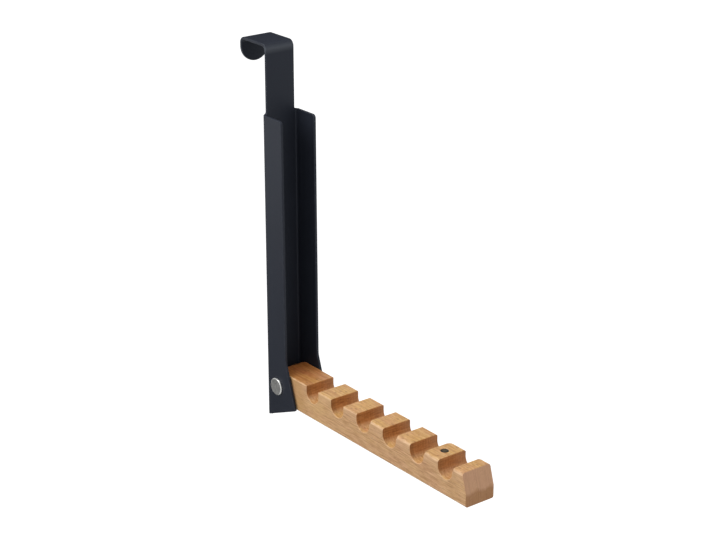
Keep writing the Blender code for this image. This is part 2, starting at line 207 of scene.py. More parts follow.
# Local Z along the pivot, pointing left or right
AXIS_LEFT = Matrix(((0, 0, -1), (0, 1, 0), (1, 0, 0)))
AXIS_RIGHT = Matrix(((0, 0, 1), (0, 1, 0), (-1, 0, 0)))


class Finish:
    """A material, with short ways to add nodes to it. Sizes of patterns are in metres."""

    def __init__(self, name):
        self.material = bpy.data.materials.new(name)
        self.material.use_nodes = True
        self.tree = self.material.node_tree
        self.shader = self.tree.nodes["Principled BSDF"]
        coordinates = self.node("TexCoord")
        self.place = coordinates.outputs["Object"]
        self.normal = coordinates.outputs["Normal"]

    def node(self, kind, **settings):
        made = self.tree.nodes.new("ShaderNode" + kind)
        for name, value in settings.items():
            setattr(made, name, value)
        return made

    def plug(self, socket, value):
        if isinstance(value, bpy.types.NodeSocket):
            self.tree.links.new(value, socket)
        else:
            socket.default_value = value

    def set(self, **values):
        """Sets the shader's sockets, named with underscores for spaces."""
        for name, value in values.items():
            self.plug(self.shader.inputs[name.replace("_", " ")], value)

    def math(self, operation, *values):
        made = self.node("Math", operation=operation)
        for socket, value in zip(made.inputs, values):
            self.plug(socket, value)
        return made.outputs[0]

    def times(self, first, second):
        return self.math("MULTIPLY", first, second)

    def vector(self, operation, *values):
        made = self.node("VectorMath", operation=operation)
        for socket, value in zip(made.inputs, values):
            self.plug(socket, value)
        return made.outputs["Value" if operation == "LENGTH" else "Vector"]

    def distance(self, point, axes):
        """How far the surface lies from a point, measured only along the axes that are 1."""
        apart = self.vector("SUBTRACT", self.place, tuple(point))
        return self.vector("LENGTH", self.vector("MULTIPLY", apart, axes))

    def split(self, vector):
        """The sockets X, Y and Z of a vector."""
        made = self.node("SeparateXYZ")
        self.plug(made.inputs[0], vector)
        return made.outputs

    def noise(self, size, detail=2.0, roughness=0.5):
        made = self.node("TexNoise")
        self.plug(made.inputs["Vector"], self.vector("DIVIDE", self.place, size))
        made.inputs["Scale"].default_value = 1.0
        made.inputs["Detail"].default_value = detail
        made.inputs["Roughness"].default_value = roughness
        return made.outputs["Fac"]

    def cells(self, size):
        """Distance to the nearest of points strewn through cells of that size, in cells."""
        made = self.node("TexVoronoi")
        self.plug(made.inputs["Vector"], self.vector("DIVIDE", self.place, size))
        made.inputs["Scale"].default_value = 1.0
        return made.outputs["Distance"]

    def fit(self, value, low, high, to_low=0.0, to_high=1.0):
        made = self.node("MapRange")
        for name, number in zip(("Value", "From Min", "From Max", "To Min", "To Max"),
                                (value, low, high, to_low, to_high)):
            self.plug(made.inputs[name], number)
        return made.outputs["Result"]

    def band(self, value, start, full, fade, end, level=1.0):
        """A level that is full between two values and fades to 0 on both sides of them."""
        return self.times(self.fit(value, start, full), self.fit(value, fade, end, level, 0))

    def ramp(self, value, *stops):
        """A grey level that runs through stops of (place, level)."""
        made = self.node("ValToRGB")
        self.plug(made.inputs["Fac"], value)
        elements = made.color_ramp.elements
        elements.remove(elements[1])
        for i, (place, level) in enumerate(stops):
            element = elements.new(place) if i else elements[0]
            element.position = place
            element.color = (level, level, level, 1)
        return made.outputs["Color"]

    def mix(self, factor, first, second, how="MIX"):
        made = self.node("Mix", data_type="RGBA", blend_type=how)
        factor_socket, first_socket, second_socket = (made.inputs[i] for i in (0, 6, 7))
        self.plug(factor_socket, factor)
        self.plug(first_socket, first)
        self.plug(second_socket, second)
        return made.outputs[2]

    def layers(self, base, *layers):
        """A base colour with layers of (factor, colour) laid over it in turn."""
        for factor, shade in layers:
            base = self.mix(factor, base, shade)
        return base

    def attribute(self, name):
        return self.node("Attribute", attribute_name=name).outputs["Fac"]

    def bump(self, height, depth, strength=1.0):
        made = self.node("Bump")
        made.inputs["Strength"].default_value = strength
        made.inputs["Distance"].default_value = depth
        self.plug(made.inputs["Height"], height)
        self.set(Normal=made.outputs["Normal"])


def colour(red, green, blue):
    return (red, green, blue, 1.0)


def even(size):
    return (size, size, size)


def powder_coat():
    coat = Finish("powder_coat")
    cloud = coat.noise(even(35 * MM), detail=3)
    peel = coat.noise(even(0.8 * MM), detail=2)
    grit = coat.noise(even(0.25 * MM), detail=1)
    # Edges made lighter, partly from wear and partly as a painted highlight
    rub_and_highlight = coat.times(coat.attribute("edge"), coat.fit(coat.noise(even(6 * MM)), 0.35, 0.65))
    # The hook's front bend, given a painted highlight where it turns down
    at = coat.split(coat.place)
    in_front = coat.fit(at["Y"], DOOR_FACE, DOOR_FACE / 2, 0.6, 0)
    bend_highlight = coat.times(coat.band(at["Z"], *BEND_HIGHLIGHT_BAND), in_front)
    base = coat.layers(
        coat.mix(cloud, colour(0.0160, 0.0186, 0.0268), colour(0.0200, 0.0230, 0.0328)),
        (coat.fit(grit, 0.62, 0.75, 0, 0.25), colour(0.030, 0.034, 0.043)),
        (coat.times(rub_and_highlight, 0.4), colour(0.056, 0.062, 0.076)),
        (bend_highlight, colour(0.083, 0.091, 0.106)),
    )
    coat.set(
        Base_Color=base,
        Roughness=coat.math("SUBTRACT", coat.fit(cloud, 0.3, 0.7, 0.42, 0.48), coat.times(rub_and_highlight, 0.08)),
        Specular_IOR_Level=0.16,
        Specular_Tint=colour(0.86, 0.93, 1.0),
    )
    coat.bump(coat.math("ADD", peel, coat.times(grit, 0.35)), 0.04 * MM, 0.5)
    return coat.material


def back_from_tip(distances):
    return [ARM_LOW.y + distance for distance in distances]


def forward_from_rear(distances):
    return [ARM_HIGH.y - distance for distance in distances]


def down_from_top(distances):
    return [ARM_HIGH.z - distance for distance in distances]


def beech():
    wood = Finish("beech")
    at = wood.split(wood.place)
    facing = wood.split(wood.normal)
    to_side = wood.math("ABSOLUTE", facing["X"])
    side_grain = wood.fit(to_side, 0.6, 0.9)
    end_grain = wood.fit(wood.math("ABSOLUTE", facing["Y"]), 0.45, 0.9)
    # Growth rings, bent by slow drifts along the arm, some of them bolder than others
    drift = wood.noise((30 * MM, 110 * MM, 30 * MM), detail=2)
    waver = wood.noise((5 * MM, 40 * MM, 5 * MM), detail=3)
    bent = wood.math("ADD", wood.fit(drift, 0, 1, -8 * MM, 8 * MM),
                     wood.fit(waver, 0, 1, -1.6 * MM, 1.6 * MM))
    turns = wood.math("DIVIDE", wood.math("ADD", wood.distance(HEART, (1, 0, 1)), bent), RING)
    ring = wood.ramp(wood.math("FRACT", turns),
                     (0.0, 0.1), (0.4, 0.0), (0.82, 0.85), (0.92, 1.0), (1.0, 0.1))
    bold = wood.fit(wood.noise((7 * MM, 45 * MM, 7 * MM), detail=2), 0.35, 0.65, 0.1, 0.62)
    # Long fibres and streaks, and rays that show as flecks on top and as dark dashes on the sides
    fibre = wood.noise((0.45 * MM, 16 * MM, 0.45 * MM), detail=4, roughness=0.6)
    pale = wood.noise((2.0 * MM, 36 * MM, 2.0 * MM), detail=3)
    vein = wood.noise((1.3 * MM, 24 * MM, 1.3 * MM), detail=3, roughness=0.6)
    fleck = wood.fit(wood.cells((9 * MM, 2.4 * MM, 0.9 * MM)), 0.12, 0.28, 1, 0)
    dash = wood.fit(wood.cells((11 * MM, 13 * MM, 2.2 * MM)), 0.08, 0.14, 1, 0)
    line = wood.noise((4 * MM, 24 * MM, 0.8 * MM), detail=3, roughness=0.6)
    streak = wood.noise((4 * MM, 12 * MM, 1.5 * MM), detail=3, roughness=0.65)
    ray = wood.fit(wood.cells((5 * MM, 8 * MM, 3.4 * MM)), 0.14, 0.24, 1, 0)
    mottle = wood.noise((1.7 * MM, 6 * MM, 1.7 * MM), detail=3, roughness=0.65)
    patch = wood.fit(wood.noise((13 * MM, 34 * MM, 13 * MM), detail=3), 0.38, 0.62)
    # Pores, and the marks that a cutter left down and across the notches' walls
    pore = wood.fit(wood.noise(even(0.35 * MM), detail=1), 0.55, 0.7)
    comb = wood.noise((1.1 * MM, 60 * MM, 22 * MM), detail=2)
    score = wood.noise((10 * MM, 40 * MM, 1.4 * MM), detail=3, roughness=0.6)
    # The top, darkened beside the pivot by painted shadow from the bracket
    on_top = wood.fit(facing["Z"], 0.75, 0.95)
    bracket_shadow = wood.times(on_top, wood.fit(at["Y"], *forward_from_rear(BRACKET_SHADOW_FORWARD), 0.3, 0.78))
    bracket_shadow = wood.times(bracket_shadow, wood.math("GREATER_THAN", at["Y"], ARM_HIGH.y - BRACKET_SHADOW_END))
    tone = wood.layers(
        wood.mix(patch, colour(0.560, 0.322, 0.100), colour(0.556, 0.284, 0.132)),
        (wood.fit(pale, 0.46, 0.66, 0, 0.75), colour(0.655, 0.418, 0.184)),
        (wood.times(ring, bold), colour(0.340, 0.145, 0.038)),
        (wood.fit(vein, 0.5, 0.68, 0, 0.6), colour(0.345, 0.155, 0.046)),
        (wood.fit(fibre, 0.5, 0.75, 0, 0.32), colour(0.32, 0.145, 0.045)),
        (wood.times(fleck, 0.28), colour(0.26, 0.115, 0.035)),
        (wood.times(ray, 0.55), colour(0.24, 0.100, 0.034)),
        (wood.fit(mottle, 0.5, 0.7, 0, 0.4), colour(0.36, 0.165, 0.052)),
        (wood.fit(mottle, 0.3, 0.5, 0.35, 0), colour(0.70, 0.460, 0.225)),
        (wood.times(wood.times(dash, side_grain), 0.75), colour(0.12, 0.050, 0.018)),
    )
    # Painted shadow of the bracket, laid on the top beside the pivot
    tone = wood.mix(bracket_shadow, tone, colour(0.62, 0.27, 0.07), "MULTIPLY")
    ends = wood.layers(
        wood.mix(0.6, tone, colour(0.53, 0.290, 0.170)),
        (wood.fit(comb, 0.48, 0.66, 0, 0.55), colour(0.27, 0.115, 0.044)),
        (wood.times(pore, 0.25), colour(0.20, 0.09, 0.04)),
    )
    # The tip, with painted light on its upward-facing slant and painted shade on the land below it
    land = ARM_LOW.z + TIP_LAND
    slant_waver = wood.noise((8 * MM, 30 * MM, 30 * MM), detail=3)
    slant_waver = wood.fit(slant_waver, 0.3, 0.7, -SLANT_LIGHT_WAVER, SLANT_LIGHT_WAVER)
    slant_light = wood.fit(wood.math("ADD", at["Z"], slant_waver), land - SLANT_LIGHT_FADE, land + SLANT_LIGHT_FADE)
    tip = wood.mix(0.5, ends, wood.mix(slant_light, colour(0.36, 0.160, 0.058), colour(0.66, 0.385, 0.245)))
    # The notches' walls: painted shade near the top that eases towards the right, and darker towards the
    # left end
    wall_shade = wood.fit(at["Z"], ARM_HIGH.z - WALL_SHADE_DEPTH, ARM_HIGH.z - 0.75 * WALL_SHADE_DEPTH, 0.2, 1.0)
    wall_shade = wood.times(wall_shade, wood.fit(at["X"], 0, ARM_HIGH.x, 1.0, 0.6))
    wall_shade = wood.times(wall_shade, wood.fit(at["Y"], *back_from_tip(WALL_SHADE_BACK), 0.78, 1.0))
    left_dark = wood.fit(at["X"], ARM_LOW.x + 0.2 * LEFT_DARK_WIDTH, ARM_LOW.x + LEFT_DARK_WIDTH, 1, 0)
    left_dark = wood.times(left_dark, wood.fit(comb, 0.35, 0.65, 0.2, 0.9))
    shaded_wall = wood.layers(
        wood.mix(wood.fit(comb, 0.4, 0.65), colour(0.500, 0.200, 0.054), colour(0.420, 0.163, 0.043)),
        (wood.fit(score, 0.5, 0.68, 0, 0.6), colour(0.25, 0.085, 0.020)),
        (wood.fit(score, 0.34, 0.5, 0.45, 0), colour(0.60, 0.265, 0.085)),
        (wood.fit(mottle, 0.5, 0.7, 0, 0.4), colour(0.26, 0.085, 0.018)),
    )
    walls = wood.layers(
        ends,
        (wall_shade, shaded_wall),
        (wood.times(left_dark, 0.6), colour(0.13, 0.050, 0.018)),
    )
    ends = wood.mix(wood.fit(at["Y"], *back_from_tip(TIP_BACK)), tip, walls)
    # The sides, which are paler near the top, with painted shade beside the flange and painted light just
    # in front of it
    side = wood.layers(
        wood.mix(wood.fit(line, 0.37, 0.63), colour(0.41, 0.240, 0.130), colour(0.72, 0.460, 0.275)),
        (wood.fit(streak, 0.5, 0.66, 0, 0.6), colour(0.30, 0.160, 0.075)),
        (wood.fit(streak, 0.34, 0.5, 0.6, 0), colour(0.80, 0.540, 0.340)),
        (wood.fit(at["Z"], *down_from_top(PALE_DOWN), 0, 0.4), colour(0.70, 0.465, 0.31)),
        (wood.fit(at["Y"], *forward_from_rear(FLANGE_SHADE_FORWARD), 0, 0.6), colour(0.47, 0.270, 0.115)),
        (wood.band(at["Y"], *forward_from_rear(LIT_BAND_FORWARD), level=0.35), colour(0.84, 0.570, 0.270)),
    )
    # The long edges on top, with a painted highlight
    slope = wood.times(to_side, facing["Z"])
    edge_highlight = wood.times(wood.fit(slope, 0.1, 0.4, 0, 0.55), wood.fit(mottle, 0.35, 0.6, 1, 0.3))
    tone = wood.layers(
        tone,
        (wood.times(side_grain, 0.55), side),
        (end_grain, ends),
        (edge_highlight, colour(0.77, 0.535, 0.33)),
    )
    wood.set(
        Base_Color=tone,
        Roughness=wood.math("ADD", wood.fit(fibre, 0.3, 0.7, 0.40, 0.52), wood.times(end_grain, 0.12)),
        Specular_IOR_Level=0.28,
    )
    grain = wood.math("SUBTRACT", wood.times(fibre, 0.7), wood.times(fleck, 0.3))
    grain = wood.math("SUBTRACT", grain, wood.times(dash, 0.5))
    wood.bump(grain, 0.12 * MM, 0.6)
    return wood.material


def nickel_plate():
    """Metal with the fine rings that a lathe leaves, scuffed a little, with a painted highlight at its
    edges.
    """
    metal = Finish("nickel_plate")
    ring = metal.math("SINE", metal.times(metal.distance(PIVOT, (0, 1, 1)), 2 * math.pi / LATHE_RING))
    scuff = metal.noise((1.5 * MM, 0.6 * MM, 4 * MM), detail=4, roughness=0.65)
    face = metal.mix(metal.fit(scuff, 0.3, 0.7), colour(0.62, 0.62, 0.605), colour(0.77, 0.77, 0.75))
    # The edges take a paler colour, a painted highlight
    metal.set(
        Base_Color=metal.mix(metal.attribute("edge"), face, colour(0.82, 0.815, 0.79)),
        Roughness=metal.fit(scuff, 0.3, 0.7, 0.30, 0.44),
        Metallic=1.0,
    )
    metal.bump(metal.math("ADD", metal.times(ring, 0.4), scuff), 0.012 * MM, 0.5)
    return metal.material


def magnet_face():
    magnet = Finish("magnet_face")
    scuff = magnet.noise((2.5 * MM, 0.7 * MM, 2 * MM), detail=4, roughness=0.6)
    speck = magnet.fit(magnet.noise(even(0.4 * MM), detail=2), 0.58, 0.7)
    # Painted shade round the rim, where the pocket's wall would shade it
    off_middle = magnet.distance(MAGNET_MIDDLE, (1, 1, 0))
    rim = magnet.fit(off_middle, 0.55 * MAGNET_RADIUS, 0.85 * MAGNET_RADIUS)
    scuffed = magnet.fit(scuff, 0.35, 0.65)
    base = magnet.layers(
        magnet.mix(scuffed, colour(0.066, 0.046, 0.018), colour(0.115, 0.080, 0.032)),
        (magnet.times(speck, 0.4), colour(0.02, 0.02, 0.018)),
        (rim, colour(0.010, 0.010, 0.009)),
    )
    magnet.set(
        Base_Color=base,
        Roughness=magnet.fit(scuff, 0.3, 0.7, 0.34, 0.5),
        Metallic=0.9,
    )
    magnet.bump(scuff, 0.02 * MM, 0.5)
    return magnet.material


def nylon():
    plastic = Finish("nylon")
    cloud = plastic.noise(even(5 * MM), detail=3)
    grain = plastic.noise(even(0.3 * MM), detail=2)
    plastic.set(
        Base_Color=plastic.mix(cloud, colour(0.70, 0.68, 0.61), colour(0.79, 0.77, 0.71)),
        Roughness=plastic.fit(grain, 0.3, 0.7, 0.42, 0.55),
        Subsurface_Weight=0.15,
        Subsurface_Scale=1.0 * MM,
    )
    plastic.bump(grain, 0.02 * MM, 0.5)
    return plastic.material


def foam():
    pad = Finish("foam")
    cell = pad.cells(even(0.55 * MM))
    cloud = pad.noise(even(7 * MM), detail=3)
    base = pad.mix(cloud, colour(0.020, 0.020, 0.022), colour(0.034, 0.034, 0.036))
    pad.set(
        Base_Color=pad.mix(pad.fit(cell, 0.5, 0.9, 0, 0.5), base, colour(0.055, 0.055, 0.058)),
        Roughness=pad.fit(cell, 0.1, 0.8, 0.82, 0.95),
    )
    pad.bump(cell, 0.12 * MM, 0.7)
    return pad.material


def added(name, data):
    """A new object in the scene."""
    made = bpy.data.objects.new(name, data)
    bpy.context.scene.collection.objects.link(made)
    return made


def mesh_of(body, name):
    """The mesh that a finished bmesh comes to. The bmesh itself is freed."""
    mesh = bpy.data.meshes.new(name)
    body.to_mesh(mesh)
    body.free()
    return mesh


def evaluated_mesh(drawn):
    """The mesh that an object comes to, modifiers and all. The object itself is removed."""
    made = drawn.evaluated_get(bpy.context.evaluated_depsgraph_get())
    mesh = bpy.data.meshes.new_from_object(made)
    bpy.data.objects.remove(drawn)
    return mesh


def arc(centre, radius, start, end):
    """Points on an arc, both ends included."""
    steps = max(3, math.ceil(abs(end - start) / ARC_STEP))
    angles = [start + (end - start) * i / steps for i in range(steps + 1)]
    return [Vector((centre[0] + radius * math.cos(a), centre[1] + radius * math.sin(a))) for a in angles]


def circle(centre, radius):
    return arc(centre, radius, 0, 2 * math.pi)[:-1]


def rounded(corners):
    """A closed outline through corners given as (x, y, radius), each rounded by its radius."""
    points = []
    for i, (x, y, radius) in enumerate(corners):
        corner = Vector((x, y))
        back = Vector(corners[i - 1][:2]) - corner
        ahead = Vector(corners[(i + 1) % len(corners)][:2]) - corner
        if radius == 0:
            points.append(corner)
            continue
        half = back.angle(ahead) / 2
        middle = corner + (back.normalized() + ahead.normalized()).normalized() * radius / math.sin(half)
        start = corner + back.normalized() * radius / math.tan(half) - middle
        turn = math.copysign(math.pi - 2 * half, ahead.cross(back))
        first = math.atan2(start.y, start.x)
        points += arc(middle, radius, first, first + turn)
    return [p for i, p in enumerate(points) if (p - points[i - 1]).length > WELD]


def plate(loops, thickness, edge, rim_steps=RIM_STEPS):
    """The mesh of a flat plate with the outline loops[0], a hole for each other loop, and round rims."""
    curve = bpy.data.curves.new("outline", "CURVE")
    curve.dimensions = "2D"
    curve.fill_mode = "BOTH"
    curve.extrude = thickness / 2 - edge
    curve.bevel_depth = edge
    curve.bevel_resolution = rim_steps
    curve.offset = -edge
    for loop in loops:
        spline = curve.splines.new("POLY")
        spline.points.add(len(loop) - 1)
        for point, place in zip(spline.points, loop):
            point.co = (*place, 0, 1)
        spline.use_cyclic_u = True
    mesh = evaluated_mesh(added("outline", curve))
    body = bmesh.new()
    body.from_mesh(mesh)
    bmesh.ops.remove_doubles(body, verts=body.verts, dist=WELD)
    bmesh.ops.recalc_face_normals(body, faces=body.faces)
    body.to_mesh(mesh)
    body.free()
    return mesh


def turned(profile, axis):
    """The mesh of a body turned about the pivot from a profile of (radius, height), top to bottom."""
    body = bmesh.new()
    points = [body.verts.new((radius, 0, height)) for radius, height in profile]
    for first, second in zip(points, points[1:]):
        body.edges.new((first, second))
    drawn = added("profile", mesh_of(body, "profile"))
    screw = drawn.modifiers.new("turn", "SCREW")
    screw.axis = "Z"
    screw.steps = 2 * math.ceil(math.pi / ARC_STEP)
    screw.render_steps = screw.steps
    screw.use_merge_vertices = True
    screw.merge_threshold = WELD
    made = evaluated_mesh(drawn)
    made.transform(Matrix.Translation(PIVOT) @ axis.to_4x4())
    return made


def heal(mesh):
    """Welds what cuts and slices leave too close together to be seen, and drops faces without area."""
    body = bmesh.new()
    body.from_mesh(mesh)
    bmesh.ops.remove_doubles(body, verts=body.verts, dist=WELD)
    bmesh.ops.dissolve_degenerate(body, edges=body.edges, dist=WELD)
    # Faces folded flat onto one another, which share all their edges
    doubled = [face for face in body.faces
               if len({other for edge in face.edges for other in edge.link_faces}) == 2]
    bmesh.ops.delete(body, geom=doubled, context="FACES")
    uneven = [face for face in body.faces
              if len(face.verts) > 4 or max(loop.calc_angle() for loop in face.loops) > STRAIGHT]
    bmesh.ops.triangulate(body, faces=uneven)
    body.to_mesh(mesh)
    body.free()


def cut(mesh, cutter, operation="DIFFERENCE"):
    """The mesh with the cutter's mesh taken away, or with only what lies inside it kept."""
    tool = added("cutter", cutter)
    drawn = added("cut", mesh)
    boolean = drawn.modifiers.new("cut", "BOOLEAN")
    boolean.operation = operation
    boolean.solver = "EXACT"
    boolean.object = tool
    made = evaluated_mesh(drawn)
    bpy.data.objects.remove(tool)
    heal(made)
    return made


def prism(radius, height, sides, place, axis):
    body = bmesh.new()
    bmesh.ops.create_cone(body, cap_ends=True, segments=sides, radius1=radius, radius2=radius,
                          depth=height)
    mesh = mesh_of(body, "prism")
    mesh.transform(Matrix.Translation(place) @ axis.to_4x4())
    return mesh


def mark_edges(mesh):
    """Writes how sharply the surface bends outward at each face, from 0 to 1, where wear and painted
    highlights show first.
    """
    body = bmesh.new()
    body.from_mesh(mesh)
    levels = []
    for face in body.faces:
        middle = face.calc_center_median()
        bends = [0.0]
        for edge in face.edges:
            along = (edge.verts[1].co - edge.verts[0].co).normalized()
            for other in edge.link_faces:
                apart = other.calc_center_median() - middle
                across = apart - along * apart.dot(along)
                if across.dot(face.normal) < -WELD:
                    bends.append(face.normal.angle(other.normal, 0) / across.length)
        levels.append(min(max((max(bends) - SOFT_CURVE) / (SHARP_CURVE - SOFT_CURVE), 0), 1))
    body.free()
    mesh.attributes.new("edge", "FLOAT", "FACE").data.foreach_set("value", levels)


def piece(name, mesh, material, node, body):
    """A named piece of the rack that stands for a node of the frame and rides on its body."""
    mesh.name = name
    mesh.materials.clear()
    mesh.materials.append(material)
    mesh.shade_smooth()
    mesh.set_sharp_from_angle(angle=SMOOTH_LIMIT)
    mark_edges(mesh)
    made = added(name, mesh)
    normals = made.modifiers.new("even_shading", "WEIGHTED_NORMAL")
    normals.keep_sharp = True
    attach(made, body)
    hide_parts(node)
    return made


def bend(length, radius, height):
    """Where a point lands that lies past the start of a right-angle bend, as (along, across)."""
    turn = min(max(length / radius, 0), math.pi / 2)
    straight = max(length - radius * math.pi / 2, 0)
    along = min(length, 0) + (radius - height) * math.sin(turn)
    across = radius - (radius - height) * math.cos(turn) + straight
    return along, across


def blank_side(depth):
    """How far from the blank's middle a flange point lies that ends up depth in front of the door."""
    return STRIP_WIDTH / 2 + FLANGE_LENGTH + depth - SHEET / 2 - FLANGE_RADIUS


def blank_outline():
    half = STRIP_WIDTH / 2
    right = [
        (half, CHANNEL_BOTTOM, 0),
        (blank_side(FLARE_DEPTH), CHANNEL_BOTTOM + FLARE_CORNER_RISE, FLARE_CORNER_RADIUS),
        (blank_side(FLANGE_DEPTH), CHANNEL_BOTTOM + FLARE_RISE, FLARE_BLEND),
        (blank_side(FLANGE_TOP_DEPTH), CHANNEL_TOP, FLANGE_TOP_RADIUS),
        (half, CHANNEL_TOP, SHOULDER_FILLET),
        (half, TAB_END, half),
    ]
    left = [(-across, up, radius) for across, up, radius in reversed(right)]
    return rounded(right + left)


def folded(point):
    """Where a point of the flat blank ends up, given as across, up and through the sheet to the front."""
    across, up, through = point
    half = STRIP_WIDTH / 2
    forward = through
    if abs(across) > half:
        side, forward = bend(abs(across) - half, FLANGE_RADIUS, through)
        across = math.copysign(half + side, across)
    elif up > BACK_BEND_START:
        back, down = bend(up - BACK_BEND_START, HOOK_RADIUS, -through)
        forward = -(DOOR_GAP + SHEET - HOOK_RADIUS) - back
        up = SHEET / 2 - down
    elif up > FRONT_BEND_START:
        rise, back = bend(up - FRONT_BEND_START, HOOK_RADIUS, -through)
        forward = -back
        up = FRONT_BEND_START + rise
    return Vector((across, up, forward))


def slice_blank(body, place, normal):
    geometry = body.verts[:] + body.edges[:] + body.faces[:]
    bmesh.ops.bisect_plane(body, geom=geometry, dist=WELD / 10, plane_co=place, plane_no=normal)


def bracket_mesh():
    hole_side = blank_side(DOOR_FACE - PIVOT.y)
    holes = [circle((side, PIVOT.z), HOLE_RADIUS) for side in (-hole_side, hole_side)]
    mesh = plate([blank_outline(), *holes], SHEET, SHEET_EDGE)
    body = bmesh.new()
    body.from_mesh(mesh)
    for i in range(BEND_SLICES + 1):
        side = STRIP_WIDTH / 2 + FLANGE_LENGTH * i / BEND_SLICES
        rise = HOOK_LENGTH * i / BEND_SLICES
        slice_blank(body, (side, 0, 0), (1, 0, 0))
        slice_blank(body, (-side, 0, 0), (1, 0, 0))
        slice_blank(body, (0, FRONT_BEND_START + rise, 0), (0, 1, 0))
        slice_blank(body, (0, BACK_BEND_START + rise, 0), (0, 1, 0))
    for vert in body.verts:
        vert.co = folded(vert.co)
    body.to_mesh(mesh)
    body.free()
    heal(mesh)
    mesh.transform(Matrix.Translation((0, DOOR_FACE - SHEET / 2, 0)) @ FRONT_VIEW.to_4x4())
    return mesh


def arm_outline():
    """The arm seen from its side, forward and up from the pivot."""
    rear = PIVOT.y - ARM_HIGH.y
    tip = PIVOT.y - ARM_LOW.y
    top = ARM_HIGH.z - PIVOT.z
    bottom = ARM_LOW.z - PIVOT.z
    notch_radius = NOTCH_WIDTH / 2
    corners = []
    for i in range(NOTCH_COUNT):
        start = rear + FIRST_NOTCH + i * NOTCH_PITCH
        end = start + NOTCH_WIDTH
        last = i == NOTCH_COUNT - 1
        corners += [
            (start, top, TOOTH_RADIUS),
            (start, top - NOTCH_DEPTH, notch_radius),
            (end, top - NOTCH_DEPTH, notch_radius),
            (end, top, TIP_REAR_RADIUS if last else TOOTH_RADIUS),
        ]
    corners += [
        (tip - TIP_SLANT, top, TIP_RADIUS),
        (tip, bottom + TIP_LAND, TIP_RADIUS),
        (tip, bottom, TIP_RADIUS),
        (rear, bottom, HEEL_RADIUS),
        (rear, top, -rear),
    ]
    return rounded(corners)


def bar_mesh():
    """The bar that the arm is cut from, a hair larger than it, lofted from its rear to its tip."""
    right = ARM_HIGH.x + BAR_SPARE
    top = ARM_HIGH.z + BAR_SPARE
    left = ARM_LOW.x - BAR_SPARE
    bottom = ARM_LOW.z - BAR_SPARE
    corners = ((right, top), (left, top), (left, bottom), (right, bottom))
    body = bmesh.new()
    ends = []
    for place, edge in ((ARM_HIGH.y + BAR_MARGIN, REAR_EDGE), (ARM_LOW.y - BAR_MARGIN, TIP_EDGE)):
        section = rounded([(*corner, edge) for corner in corners])
        ends.append([body.verts.new((point.x, place, point.y)) for point in section])
    rear, tip = ends
    for i in range(len(rear)):
        body.faces.new((rear[i - 1], rear[i], tip[i], tip[i - 1]))
    body.faces.new(rear)
    body.faces.new(tip)
    bmesh.ops.recalc_face_normals(body, faces=body.faces)
    return mesh_of(body, "bar")


def corner_mesh(notch, side):
    """The tool that rounds a rear corner of the tooth in front of a notch, on the left (-1) or right (1).

    It rounds most at the top, and nothing where the notch's wall starts to curve.
    """
    fade = NOTCH_DEPTH - NOTCH_WIDTH / 2
    at_top = LEFT_CORNER_RADIUS if side < 0 else RIGHT_CORNER_RADIUS
    radius = at_top * (fade + BAR_MARGIN) / fade
    low = ARM_HIGH.z - fade
    high = ARM_HIGH.z + BAR_MARGIN
    out = BAR_MARGIN
    edge = CORNER_SPARE
    # Its top and its foot, in places out from the arm's side, back from the tooth and up
    rim = [(p.x, p.y, high) for p in arc((edge - radius, edge - radius), radius, 0, math.pi / 2)]
    upper = [(out, edge - radius, high), *rim, (edge - radius, out, high), (out, out, high)]
    lower = [(out, edge, low), (edge, edge, low), (edge, out, low), (out, out, low)]
    rear = ARM_HIGH.y - FIRST_NOTCH - notch * NOTCH_PITCH - NOTCH_WIDTH
    body = bmesh.new()
    top, bottom = ([body.verts.new((side * (ARM_HIGH.x + x), rear + y, z)) for x, y, z in ring]
                   for ring in (upper, lower))
    first, apex, last, outer = bottom
    body.faces.new(top)
    body.faces.new(bottom)
    body.faces.new((top[0], top[1], apex, first))
    body.faces.new((top[-3], top[-2], last, apex))
    body.faces.new((top[-2], top[-1], outer, last))
    body.faces.new((top[-1], top[0], first, outer))
    for here, there in zip(top[1:-2], top[2:-2]):
        body.faces.new((here, there, apex))
    bmesh.ops.recalc_face_normals(body, faces=body.faces)
    return mesh_of(body, "corner")


def arm_mesh():
    bore = circle((0, 0), HOLE_RADIUS)
    mesh = plate([arm_outline(), bore], ARM_HIGH.x - ARM_LOW.x, NOTCH_EDGE)
    mesh.transform(Matrix.Translation(PIVOT) @ SIDE_VIEW.to_4x4())
    mesh = cut(mesh, bar_mesh(), "INTERSECT")
    for side, count in ((-1, LEFT_CORNERS), (1, RIGHT_CORNERS)):
        for notch in range(NOTCH_COUNT - count, NOTCH_COUNT):
            mesh = cut(mesh, corner_mesh(notch, side))
    radius = MAGNET_RADIUS + POCKET_GAP
    floor = MAGNET_LOW.z - POCKET_GAP - ARM_HIGH.z
    pocket = [
        (0, POCKET_CHAMFER),
        (radius + 2 * POCKET_CHAMFER, POCKET_CHAMFER),
        (radius, -POCKET_CHAMFER),
        (radius, floor),
        (0, floor),
    ]
    cutter = turned(pocket, Matrix.Identity(3))
    cutter.transform(Matrix.Translation(Vector((0, MAGNET_MIDDLE.y, ARM_HIGH.z)) - PIVOT))
    return cut(mesh, cutter)


def magnet_mesh():
    mesh = plate([circle((0, 0), MAGNET_RADIUS)], MAGNET_HIGH.z - MAGNET_LOW.z, MAGNET_EDGE)
    mesh.transform(Matrix.Translation(MAGNET_MIDDLE))
    return mesh


def head_profile(radius, top):
    """The outer half of a flat head with a round rim, from its middle out and down to its underside."""
    rim = arc((radius - HEAD_EDGE, top - HEAD_EDGE), HEAD_EDGE, math.pi / 2, 0)
    return [(0, top), *(tuple(point) for point in rim), (radius, top - HEAD_THICKNESS)]


